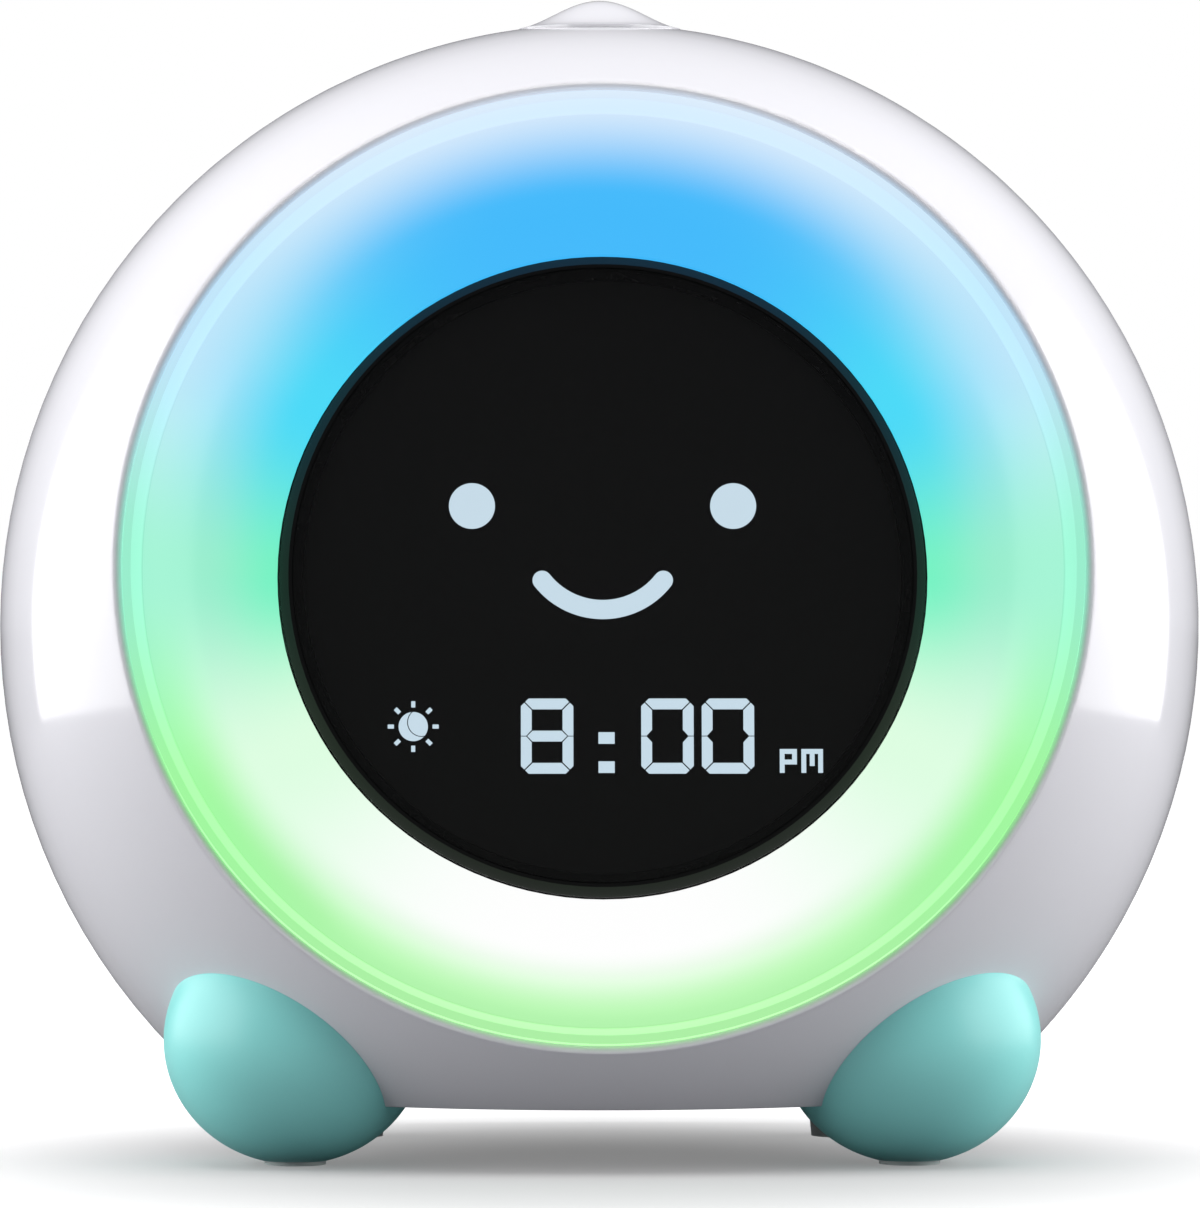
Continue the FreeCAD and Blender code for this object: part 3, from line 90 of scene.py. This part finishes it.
class Paint:
    """A material's node tree, with short ways to add and join nodes."""

    def __init__(self, name, color, roughness, **sockets):
        self.material = bpy.data.materials.new(name)
        self.material.use_nodes = True
        self.tree = self.material.node_tree
        self.shader = self.tree.nodes["Principled BSDF"]
        self.set("Base Color", color)
        self.set("Roughness", roughness)
        for socket, value in sockets.items():
            self.set(socket.replace("_", " "), value)

    def set(self, socket, value):
        self.shader.inputs[socket].default_value = value

    def node(self, kind, **settings):
        made = self.tree.nodes.new("ShaderNode" + kind)
        for name, value in settings.items():
            setattr(made, name, value)
        return made

    def plug(self, source, target):
        self.tree.links.new(source, target)

    def fill(self, target, value):
        """Puts a number, a vector or another node's output into a socket."""
        if isinstance(value, bpy.types.NodeSocket):
            self.plug(value, target)
        else:
            target.default_value = value

    def sum(self, operation, *values):
        made = self.node("Math", operation=operation)
        for target, value in zip(made.inputs, values):
            self.fill(target, value)
        return made.outputs[0]

    def vector(self, operation, *values):
        made = self.node("VectorMath", operation=operation)
        for target, value in zip(made.inputs, values):
            self.fill(target, value)
        return made.outputs["Value" if operation in ("DOT_PRODUCT", "LENGTH") else "Vector"]

    def step(self, value, low, high):
        """A soft step from 0 at low to 1 at high."""
        made = self.node("MapRange", interpolation_type="SMOOTHSTEP")
        self.fill(made.inputs["Value"], value)
        made.inputs["From Min"].default_value = low
        made.inputs["From Max"].default_value = high
        return made.outputs["Result"]

    def mix(self, factor, first, second, kind="RGBA"):
        made = self.node("Mix", data_type=kind)
        at = {"FLOAT": (2, 3, 0), "VECTOR": (4, 5, 1), "RGBA": (6, 7, 2)}[kind]
        self.fill(made.inputs[0], factor)
        self.fill(made.inputs[at[0]], first)
        self.fill(made.inputs[at[1]], second)
        return made.outputs[at[2]]

    def place(self):
        return self.node("TexCoord").outputs["Object"]

    def noise(self, scale, detail=2.0):
        made = self.node("TexNoise")
        made.inputs["Scale"].default_value = scale
        made.inputs["Detail"].default_value = detail
        self.plug(self.place(), made.inputs["Vector"])
        return made.outputs["Fac"]

    def bump(self, height, distance, strength=1.0, normal=None):
        made = self.node("Bump")
        made.inputs["Distance"].default_value = distance
        made.inputs["Strength"].default_value = strength
        self.plug(height, made.inputs["Height"])
        if normal is not None:
            self.plug(normal, made.inputs["Normal"])
        return made.outputs["Normal"]

    def to(self, socket, value):
        self.fill(self.shader.inputs[socket], value)


def face_radius(paint):
    """How far a point is from the face's axis, and how high it is above it."""
    offset = paint.vector("SUBTRACT", paint.place(), FACE_ORIGIN)
    across = paint.vector("DOT_PRODUCT", offset, FACE_RIGHT)
    above = paint.vector("DOT_PRODUCT", offset, FACE_UP)
    across_squared = paint.sum("MULTIPLY", across, across)
    above_squared = paint.sum("MULTIPLY", above, above)
    return paint.sum("SQRT", paint.sum("ADD", across_squared, above_squared)), above


def shell_paint():
    """Polished white plastic. Its shading follows the true curve of the body, and a thin line of
    painted shade marks the seam between the shells.
    """
    paint = Paint(
        "white_gloss",
        GLOSS_WHITE,
        0.11,
        Specular_IOR_Level=0.55,
        Coat_Weight=0.25,
        Coat_Roughness=0.06,
    )
    offset = paint.vector("SUBTRACT", paint.place(), BODY_MIDDLE)
    unit = paint.vector("DIVIDE", offset, BODY_RADII)
    level = paint.vector("LENGTH", unit)
    curve = paint.vector("NORMALIZE", paint.vector("DIVIDE", unit, BODY_RADII))
    radius, _ = face_radius(paint)
    outside = paint.step(level, 0.9940, 0.9965)
    lip_end = BOWL_OUTER + LIP_ROUND
    clear_of_lip = paint.step(radius, lip_end, lip_end + 0.4 * MM)
    split = paint.node("SeparateXYZ")
    paint.plug(offset, split.inputs[0])
    behind_face = paint.step(split.outputs["Y"], -0.036, -0.034)
    off_lip = paint.sum("MAXIMUM", clear_of_lip, behind_face)
    mask = paint.sum("MULTIPLY", outside, off_lip)
    seen = paint.node("NewGeometry").outputs["Normal"]
    smooth = paint.vector("NORMALIZE", paint.mix(mask, seen, curve, "VECTOR"))
    waves = paint.noise(900, 2)
    paint.to("Normal", paint.bump(waves, 0.000004, 0.5, smooth))
    # A thin darker line at the split is painted shade where the seam's groove would be
    from_split = paint.sum("ABSOLUTE", paint.sum("SUBTRACT", split.outputs["Y"], SPLIT_Y))
    seam_shade = paint.step(from_split, 0.00006, 0.00016)
    paint.to("Base Color", paint.mix(seam_shade, SEAM_PAINTED_SHADE, GLOSS_WHITE))
    return paint.material


def bowl_paint():
    """Frosted plastic that glows: sky at the top, mint at the sides, white and green below."""
    paint = Paint("bowl_glow", (0.02, 0.02, 0.02, 1), 0.22, Specular_IOR_Level=0.25)
    radius, above = face_radius(paint)
    from_display = paint.sum("SUBTRACT", radius, BOWL_INNER)
    spread = paint.sum("DIVIDE", from_display, BOWL_OUTER - BOWL_INNER)
    height = paint.sum("DIVIDE", above, radius)
    glow = None
    for place, core, rim, start, end in ZONES:
        color = paint.mix(paint.step(spread, start, end), core, rim)
        if glow is None:
            glow = color
        else:
            glow = paint.mix(paint.step(height, place + ZONE_STEP, place), glow, color)
    paint.to("Emission Color", glow)
    paint.set("Emission Strength", BOWL_GLOW)
    return paint.material


def plain(name, color, roughness, grain=0.0, grain_scale=1500, **sockets):
    paint = Paint(name, color, roughness, **sockets)
    if grain:
        paint.to("Normal", paint.bump(paint.noise(grain_scale, 3), grain))
    return paint.material


def brushed(name, color, roughness):
    paint = Paint(name, color, roughness, Metallic=1.0)
    paint.to("Roughness", paint.mix(paint.noise(2500), roughness, roughness + 0.15, "FLOAT"))
    return paint.material


def foot_paint():
    paint = Paint("mint_satin", MINT, 0.34, Specular_IOR_Level=0.45)
    paint.to("Normal", paint.bump(paint.noise(1400, 3), 0.00001, 0.6))
    return paint.material


def board_paint():
    """A green board with paler tracks under its varnish."""
    paint = Paint("board_green", BOARD_GREEN, 0.35)
    made = paint.node("TexBrick")
    made.inputs["Scale"].default_value = 160
    made.inputs["Mortar Size"].default_value = 0.06
    made.inputs["Color1"].default_value = BOARD_GREEN
    made.inputs["Color2"].default_value = (0.015, 0.13, 0.05, 1)
    made.inputs["Mortar"].default_value = (0.05, 0.24, 0.10, 1)
    paint.plug(paint.place(), made.inputs["Vector"])
    paint.to("Base Color", made.outputs["Color"])
    return paint.material


MATERIALS = {
    "white_gloss": shell_paint(),
    "button_white": plain("button_white", GLOSS_WHITE, 0.14, Specular_IOR_Level=0.5, Coat_Weight=0.2),
    "bowl_glow": bowl_paint(),
    "bezel_black": plain("bezel_black", BLACK, 0.2, Specular_IOR_Level=0.2),
    "lens_smoke": plain(
        "lens_smoke", (0.016, 0.016, 0.016, 1), 0.1, Specular_IOR_Level=0.1, Alpha=0.35
    ),
    "lcd_black": plain("lcd_black", (0.012, 0.012, 0.012, 1), 0.5, Specular_IOR_Level=0.05),
    "lit_white": plain(
        "lit_white", (0.1, 0.1, 0.1, 1), 0.5, Emission_Color=FIGURE_BLUE, Emission_Strength=FIGURE_GLOW
    ),
    "guide_clear": plain("guide_clear", (0.75, 0.78, 0.8, 1), 0.4),
    "board_green": board_paint(),
    "tray_white": plain("tray_white", (0.8, 0.8, 0.8, 1), 0.45, grain=0.00001),
    "lamp_cream": plain("lamp_cream", (0.86, 0.78, 0.35, 1), 0.25),
    "chip_black": plain("chip_black", (0.015, 0.015, 0.016, 1), 0.5, grain=0.00001),
    "can_metal": brushed("can_metal", (0.7, 0.7, 0.72, 1), 0.3),
    "plug_cream": plain("plug_cream", (0.78, 0.72, 0.55, 1), 0.45),
    "mint_satin": foot_paint(),
    "pad_clear": plain("pad_clear", (0.5, 0.56, 0.55, 1), 0.5),
    "rear_foot_rubber": plain("rear_foot_rubber", (0.35, 0.39, 0.39, 1), 0.6, grain=0.00002),
    "screw_steel": brushed("screw_steel", STEEL, 0.28),
    "spring_steel": brushed("spring_steel", (0.5, 0.5, 0.52, 1), 0.3),
    "switch_black": plain("switch_black", (0.02, 0.02, 0.022, 1), 0.5),
    "cover_white": plain("cover_white", COVER_WHITE, 0.42, grain=0.00002, grain_scale=2200),
    "key_mint": plain("key_mint", KEY_MINT, 0.36, grain=0.00001),
    "speaker_black": plain("speaker_black", (0.02, 0.02, 0.022, 1), 0.4, Metallic=0.6),
    "magnet_steel": brushed("magnet_steel", (0.4, 0.41, 0.43, 1), 0.35),
    "cone_paper": plain("cone_paper", (0.03, 0.03, 0.033, 1), 0.85, grain=0.00004),
    "bay_grey": plain("bay_grey", (0.66, 0.67, 0.7, 1), 0.5, grain=0.00001),
    "cell_wrap": plain("cell_wrap", (0.03, 0.12, 0.26, 1), 0.25),
    "contact_metal": brushed("contact_metal", (0.75, 0.75, 0.77, 1), 0.18),
    "knob_mint": plain("knob_mint", KEY_MINT, 0.36),
    "control_metal": brushed("control_metal", STEEL, 0.35),
    "socket_metal": brushed("socket_metal", (0.6, 0.61, 0.63, 1), 0.25),
}
for part in frame["record"]["subparts"]:
    node = frame["nodes"][part["node"]]
    node.data.materials.clear()
    node.data.materials.append(MATERIALS[part["material_slot"]])
    node.data.polygons.foreach_set("material_index", [0] * len(node.data.polygons))


# Small marks on the back, printed ones and painted shade: flat meshes a hair above the surface they
# lie on
INK = plain("ink_grey", (0.16, 0.30, 0.28, 1), 0.5)
# Near black, for the painted shade in the screws' cross recesses
RECESS_SHADE = plain("recess_painted_shade", (0.03, 0.03, 0.032, 1), 0.6)


def rear_mesh(name, polygons, at_y, body, material, thick):
    """Flat polygons drawn in X and Z, facing the back, with a little thickness."""
    points = []
    faces = []
    for polygon in polygons:
        start = len(points)
        count = len(polygon)
        points += [(x, at_y, z) for x, z in polygon]
        points += [(x, at_y + thick, z) for x, z in polygon]
        faces.append([start + n for n in range(count)])
        faces.append([start + count + n for n in reversed(range(count))])
        for n in range(count):
            after = (n + 1) % count
            faces.append([start + n, start + count + n, start + count + after, start + after])
    mesh = bpy.data.meshes.new(name)
    mesh.from_pydata(points, [], faces)
    mesh.update()
    made = bpy.data.objects.new(name, mesh)
    bpy.context.scene.collection.objects.link(made)
    mesh.materials.append(material)
    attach(made, body)


def bar(x, z, wide, tall):
    return [
        (x - wide / 2, z - tall / 2),
        (x + wide / 2, z - tall / 2),
        (x + wide / 2, z + tall / 2),
        (x - wide / 2, z + tall / 2),
    ]


def ring_parts(x, z, inner, outer, count=36):
    """A flat ring as short four-sided pieces."""
    parts = []
    for n in range(count):
        angles = [2 * math.pi * (n + step) / count for step in (0, 1)]
        parts.append([
            (x + inner * math.cos(angles[0]), z + inner * math.sin(angles[0])),
            (x + outer * math.cos(angles[0]), z + outer * math.sin(angles[0])),
            (x + outer * math.cos(angles[1]), z + outer * math.sin(angles[1])),
            (x + inner * math.cos(angles[1]), z + inner * math.sin(angles[1])),
        ])
    return parts


KEY_PROUD = 0.9 * MM
KEY_FACE = COVER_FACE + KEY_PROUD
KEY_Z = (MIDDLE_UP + 6) * MM
KEY_STEP = 17 * MM
clock_x, alarm_x, down_x, up_x = (KEY_STEP * step for step in (-1.5, -0.5, 0.5, 1.5))
LINE = 0.45 * MM
SIGN_LINE = LINE * 1.3
SIGN_WIDE = 3.2 * MM
MARK_DEPTH = 0.03 * MM
clock_mark = ring_parts(clock_x, KEY_Z, 1.7 * MM, 2.1 * MM)
clock_mark += [
    bar(clock_x, KEY_Z + 0.5 * MM, LINE, 1.2 * MM),
    bar(clock_x - 0.5 * MM, KEY_Z, 1.0 * MM, LINE),
]
BELL_OUTLINE = (
    (-1.9, -1.2),
    (1.9, -1.2),
    (1.3, -0.5),
    (1.2, 0.8),
    (0.7, 1.6),
    (-0.7, 1.6),
    (-1.2, 0.8),
    (-1.3, -0.5),
)
bell_mark = [
    [(alarm_x + x * MM, KEY_Z + z * MM) for x, z in BELL_OUTLINE],
    bar(alarm_x, KEY_Z - 1.7 * MM, 1.1 * MM, 0.6 * MM),
]
down_mark = [bar(down_x, KEY_Z, SIGN_WIDE, SIGN_LINE)]
up_mark = [
    bar(up_x, KEY_Z, SIGN_WIDE, SIGN_LINE),
    bar(up_x, KEY_Z + 0.95 * MM, SIGN_LINE, 1.3 * MM),
    bar(up_x, KEY_Z - 0.95 * MM, SIGN_LINE, 1.3 * MM),
]
for name, mark, body in (
    ("clock_mark", clock_mark, "clock_key_body"),
    ("bell_mark", bell_mark, "alarm_key_body"),
    ("down_mark", down_mark, "down_key_body"),
    ("up_mark", up_mark, "up_key_body"),
):
    rear_mesh(name, mark, KEY_FACE, body, INK, MARK_DEPTH)

# Painted shade of the cross recesses in the heads of the cover's screws: flat near-black crosses
SCREW_RING = 50.6 * MM
CROSS_LONG = 2.6 * MM
CROSS_WIDE = 0.5 * MM
HEAD_FACE = COVER_FACE - 0.1 * MM
crosses = []
for angle in (45, 135, 225, 315):
    x = SCREW_RING * math.cos(math.radians(angle))
    z = BODY_MIDDLE.z + SCREW_RING * math.sin(math.radians(angle))
    crosses += [bar(x, z, CROSS_LONG, CROSS_WIDE), bar(x, z, CROSS_WIDE, CROSS_LONG)]
rear_mesh("screw_cross_shade", crosses, HEAD_FACE, "housing", RECESS_SHADE, MARK_DEPTH)


# Studio: a pale floor, a soft lamp at each side and a broad one above
FLOOR_HALF = 6.0
FLOOR_FOR_LIGHT = (0.20, 0.20, 0.21, 1)
FLOOR_SEEN = (0.40, 0.40, 0.40, 1)
SHADOW_MIDDLE = (0, -0.04, 0)
SHADOW_START = 0.03
SHADOW_END = 0.15
SHADOW_GLOW = 0.22
WORLD_FOR_LIGHT = (0.10, 0.10, 0.11, 1)
WHITE = (1, 1, 1, 1)


def stage_floor():
    """A floor that keeps the clock's real shadow, adds a painted shadow by glowing less near the
    clock, and turns white away from it.
    """
    paint = Paint("floor_paint", (0.35, 0.35, 0.36, 1), 1.0, Specular_IOR_Level=0.0)
    camera_ray = paint.node("LightPath").outputs["Is Camera Ray"]
    paint.to("Base Color", paint.mix(camera_ray, FLOOR_FOR_LIGHT, FLOOR_SEEN))
    paint.set("Emission Color", WHITE)
    # Painted shadow: for the camera the floor glows less in a patch centred a little in front of the
    # clock, darkening it beyond its real shadow
    offset = paint.vector("SUBTRACT", paint.place(), SHADOW_MIDDLE)
    away = paint.step(paint.vector("LENGTH", offset), SHADOW_START, SHADOW_END)
    glow = paint.mix(away, SHADOW_GLOW, 1.0, "FLOAT")
    paint.to("Emission Strength", paint.sum("MULTIPLY", camera_ray, glow))
    corners = [(x * FLOOR_HALF, y * FLOOR_HALF, 0) for x, y in ((-1, -1), (1, -1), (1, 1), (-1, 1))]
    mesh = bpy.data.meshes.new("floor")
    mesh.from_pydata(corners, [], [(0, 1, 2, 3)])
    floor = bpy.data.objects.new("floor", mesh)
    bpy.context.scene.collection.objects.link(floor)
    mesh.materials.append(paint.material)


stage_floor()
world = bpy.data.worlds.new("studio")
bpy.context.scene.world = world
world.use_nodes = True
links = world.node_tree.links
nodes = world.node_tree.nodes
background = nodes["Background"]
rays = nodes.new("ShaderNodeLightPath")
shade = nodes.new("ShaderNodeMix")
shade.data_type = "RGBA"
links.new(rays.outputs["Is Camera Ray"], shade.inputs[0])
shade.inputs[6].default_value = WORLD_FOR_LIGHT
shade.inputs[7].default_value = WHITE
links.new(shade.outputs[2], background.inputs["Color"])


def lamp(name, at, aim, wide, tall, power):
    data = bpy.data.lights.new(name, "AREA")
    data.shape = "RECTANGLE"
    data.size = wide
    data.size_y = tall
    data.energy = power
    made = bpy.data.objects.new(name, data)
    bpy.context.scene.collection.objects.link(made)
    made.location = at
    made.rotation_euler = (Vector(aim) - Vector(at)).to_track_quat("-Z", "Y").to_euler()


OVERHEAD_POWER = 9.2
SIDE_POWER = 2.3
SIDE_AIM = (0, -0.06, 0.12)
lamp("overhead", (0, -0.08, 0.95), (0, 0, 0.1), 1.1, 0.8, OVERHEAD_POWER)
for name, side in (("left_box", -1), ("right_box", 1)):
    lamp(name, (side * 0.40, -0.06, 0.14), SIDE_AIM, 0.66, 0.40, SIDE_POWER)

# Camera: level with the clock, a metre in front of it, with a long lens. The focal length and the
# aim are counted in pixels of a picture 1200 pixels wide
CAMERA_AWAY = 1.0
CAMERA_RISE = math.radians(0.41)
CAMERA_TURN = math.radians(0.84)
PICTURE_WIDE = 1200
FOCAL = 7475
AIM_LEFT = -0.46
AIM_UP = 22.11
SENSOR = 36.0
forward = Vector((
    math.sin(CAMERA_TURN) * math.cos(CAMERA_RISE),
    math.cos(CAMERA_TURN) * math.cos(CAMERA_RISE),
    -math.sin(CAMERA_RISE),
))
right = Vector((math.cos(CAMERA_TURN), -math.sin(CAMERA_TURN), 0))
up = right.cross(forward)
camera_data = bpy.data.cameras.new("camera")
camera_data.sensor_fit = "HORIZONTAL"
camera_data.sensor_width = SENSOR
camera_data.lens = FOCAL / PICTURE_WIDE * SENSOR
camera = bpy.data.objects.new("camera", camera_data)
bpy.context.scene.collection.objects.link(camera)
camera.location = BODY_MIDDLE - forward * CAMERA_AWAY
look = forward - right * (AIM_LEFT / FOCAL) + up * (AIM_UP / FOCAL)
camera.rotation_euler = look.to_track_quat("-Z", "Y").to_euler()
bpy.context.scene.camera = camera
bpy.context.scene.view_settings.view_transform = "Standard"
